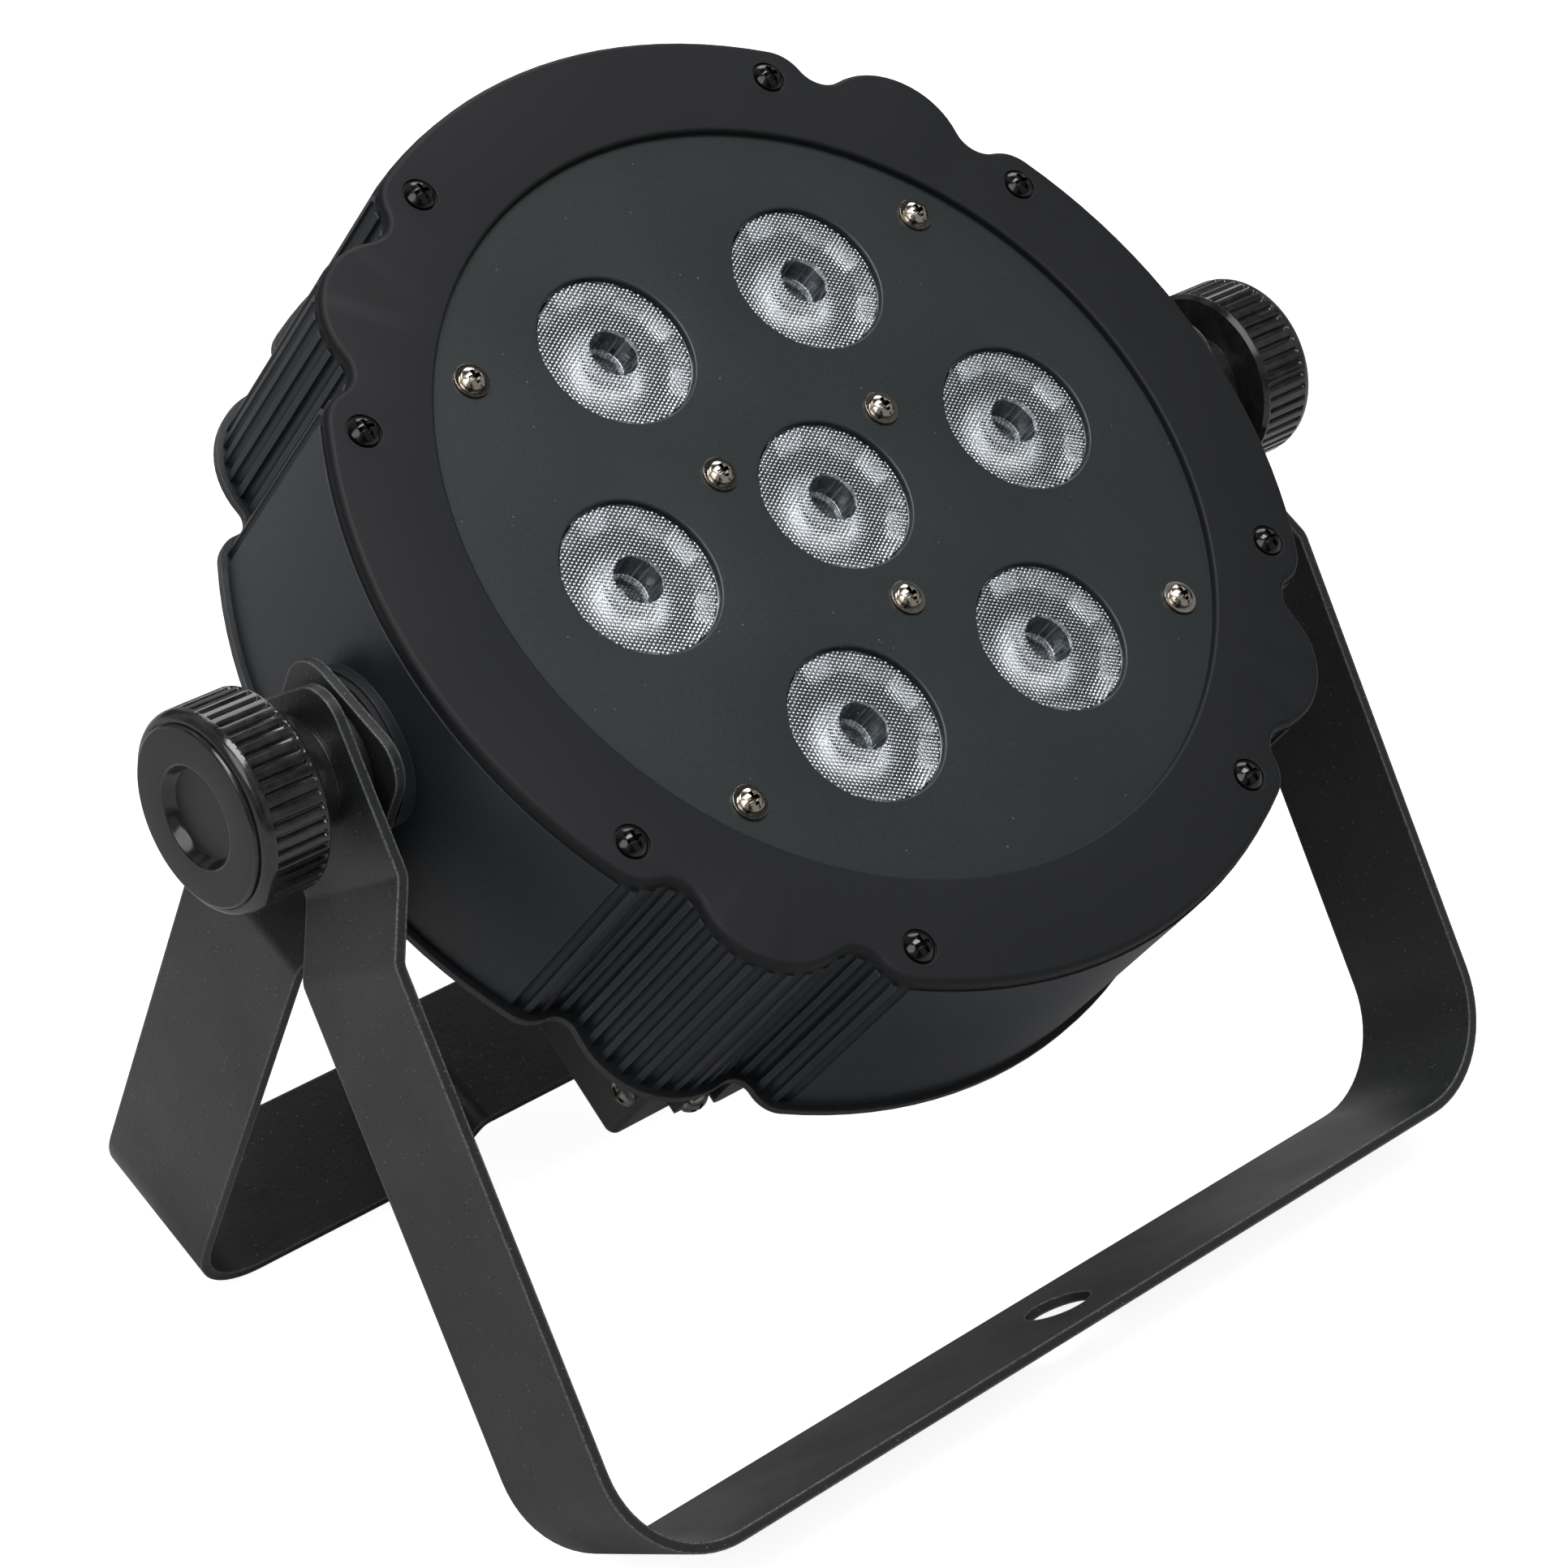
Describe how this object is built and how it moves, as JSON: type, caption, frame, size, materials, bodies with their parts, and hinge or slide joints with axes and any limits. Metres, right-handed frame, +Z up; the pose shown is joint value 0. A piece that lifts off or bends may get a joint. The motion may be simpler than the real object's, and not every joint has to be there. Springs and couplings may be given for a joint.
{
  "type": "par can light",
  "caption": "Slim round stage lamp with collimated lenses in a lobed, grooved drum on a double standing bracket with knurled knobs.",
  "frame": {"origin": "on the floor, in the middle of the lamp's footprint, 0.5 mm in front of the point straight below the pivot line", "axes": "+X along the pivot line towards the right-hand knob, -Y the way the lamp faces, +Z up"},
  "size_m": [0.2588, 0.1841, 0.2121],
  "materials": {
    "cover_plastic": "satin black moulding, very fine grain",
    "body_plastic": "blue-black moulding, fine grain",
    "back_metal": "black powder coat",
    "plate_metal": "flat dark grey paint",
    "bracket_paint": "black powder coat, orange peel",
    "knob_plastic": "glossy black moulding with a matt face",
    "washer_black": "black nylon",
    "pad_rubber": "black rubber",
    "black_screw": "glossy black oxide",
    "nickel": "nickel plate",
    "steel": "zinc plated",
    "brass": "turned brass",
    "lens_clear": "clear moulded lens with a pebbled face over a silvered cone",
    "holder_plastic": "black moulding",
    "board_black": "black solder mask on aluminium",
    "board_green": "green solder mask",
    "emitter": "clear dome on a dark base",
    "sink_aluminium": "plain aluminium",
    "winding": "taped winding",
    "display_face": "dark red digit block",
    "window_plastic": "smoked window",
    "socket_plastic": "black moulding",
    "button_plastic": "black moulding",
    "lead_jacket": "insulated lead"
  },
  "bodies": {
    "front_bracket": {"front_bracket": "bracket_paint", "spacer_washers": "washer_black"},
    "head": {"front_cover": "cover_plastic", "housing_body": "body_plastic", "rear_cover": "back_metal", "rear_box": "back_metal", "lens_plate": "plate_metal", "lamp_board": "board_black", "lamp_emitters": "emitter", "heat_sink": "sink_aluminium", "plate_standoffs": "nickel", "rim_screws": "black_screw", "outer_plate_screws": "nickel", "inner_plate_screws": "nickel", "rear_cover_screws": "black_screw", "box_screws": "nickel", "socket_screws": "nickel", "pivot_inserts": "brass", "friction_pads": "pad_rubber", "data_inlet": "socket_plastic", "data_outlet": "socket_plastic", "data_pins": "nickel", "power_inlet": "socket_plastic", "power_outlet": "socket_plastic", "power_pins": "nickel", "supply_board": "board_green", "driver_board": "board_green", "transformer": "winding", "menu_board": "board_green", "display_module": "display_face", "display_window": "window_plastic", "mains_leads": "lead_jacket", "lamp_leads": "lead_jacket", "lens_0": "lens_clear", "lens_1": "lens_clear", "lens_2": "lens_clear", "lens_3": "lens_clear", "lens_4": "lens_clear", "lens_5": "lens_clear", "lens_6": "lens_clear", "lens_holder_0": "holder_plastic", "lens_holder_1": "holder_plastic", "lens_holder_2": "holder_plastic", "lens_holder_3": "holder_plastic", "lens_holder_4": "holder_plastic", "lens_holder_5": "holder_plastic", "lens_holder_6": "holder_plastic"},
    "rear_bracket": {"rear_bracket": "bracket_paint"},
    "left_washer": {"thrust_washer_left": "steel"},
    "left_knob": {"knob_left": "knob_plastic", "knob_stud_left": "steel"},
    "right_washer": {"thrust_washer_right": "steel"},
    "right_knob": {"knob_right": "knob_plastic", "knob_stud_right": "steel"},
    "data_latch": {"data_latch": "nickel"},
    "fuse_drawer": {"fuse_drawer": "button_plastic"},
    "menu_button_1": {"menu_button_1": "button_plastic"},
    "menu_button_2": {"menu_button_2": "button_plastic"},
    "menu_button_3": {"menu_button_3": "button_plastic"},
    "menu_button_4": {"menu_button_4": "button_plastic"}
  },
  "joints": [
    {"name": "head_tilt", "type": "hinge", "parent": "front_bracket", "child": "head", "pos_m": [0, 0.00034, 0.13281], "axis": [1, 0, 0], "continuous": true},
    {"name": "rear_bracket_swing", "type": "hinge", "parent": "front_bracket", "child": "rear_bracket", "pos_m": [0, 0.00034, 0.13281], "axis": [1, 0, 0], "continuous": true},
    {"name": "left_washer_travel", "type": "slide", "parent": "head", "child": "left_washer", "axis": [-1, 0, 0], "range_m": [0, 0.005]},
    {"name": "left_knob_turn", "type": "hinge", "parent": "left_washer", "child": "left_knob", "pos_m": [0, 0.00034, 0.13281], "axis": [-1, 0, 0], "range_deg": [0, 1440]},
    {"name": "right_washer_travel", "type": "slide", "parent": "head", "child": "right_washer", "axis": [1, 0, 0], "range_m": [0, 0.005]},
    {"name": "right_knob_turn", "type": "hinge", "parent": "right_washer", "child": "right_knob", "pos_m": [0, 0.00034, 0.13281], "axis": [1, 0, 0], "range_deg": [0, 1440]},
    {"name": "menu_button_1_press", "type": "slide", "parent": "head", "child": "menu_button_1", "axis": [0, -0.6046, 0.7965], "range_m": [0, 0.0008], "stiffness_N_per_m": 400, "springref_m": -0.0005},
    {"name": "menu_button_2_press", "type": "slide", "parent": "head", "child": "menu_button_2", "axis": [0, -0.6046, 0.7965], "range_m": [0, 0.0008], "stiffness_N_per_m": 400, "springref_m": -0.0005},
    {"name": "menu_button_3_press", "type": "slide", "parent": "head", "child": "menu_button_3", "axis": [0, -0.6046, 0.7965], "range_m": [0, 0.0008], "stiffness_N_per_m": 400, "springref_m": -0.0005},
    {"name": "menu_button_4_press", "type": "slide", "parent": "head", "child": "menu_button_4", "axis": [0, -0.6046, 0.7965], "range_m": [0, 0.0008], "stiffness_N_per_m": 400, "springref_m": -0.0005},
    {"name": "data_latch_press", "type": "slide", "parent": "head", "child": "data_latch", "axis": [0, 0.7965, 0.6046], "range_m": [0, 0.0014], "stiffness_N_per_m": 400, "springref_m": -0.0005},
    {"name": "fuse_drawer_pull", "type": "slide", "parent": "head", "child": "fuse_drawer", "axis": [0, 0.6046, -0.7965], "range_m": [0, 0.018]}
  ],
  "couplings": [
    {"joint": "left_knob_turn", "follows": "left_washer_travel", "rad_per_m": 5026.5},
    {"joint": "right_knob_turn", "follows": "right_washer_travel", "rad_per_m": 5026.5}
  ]
}
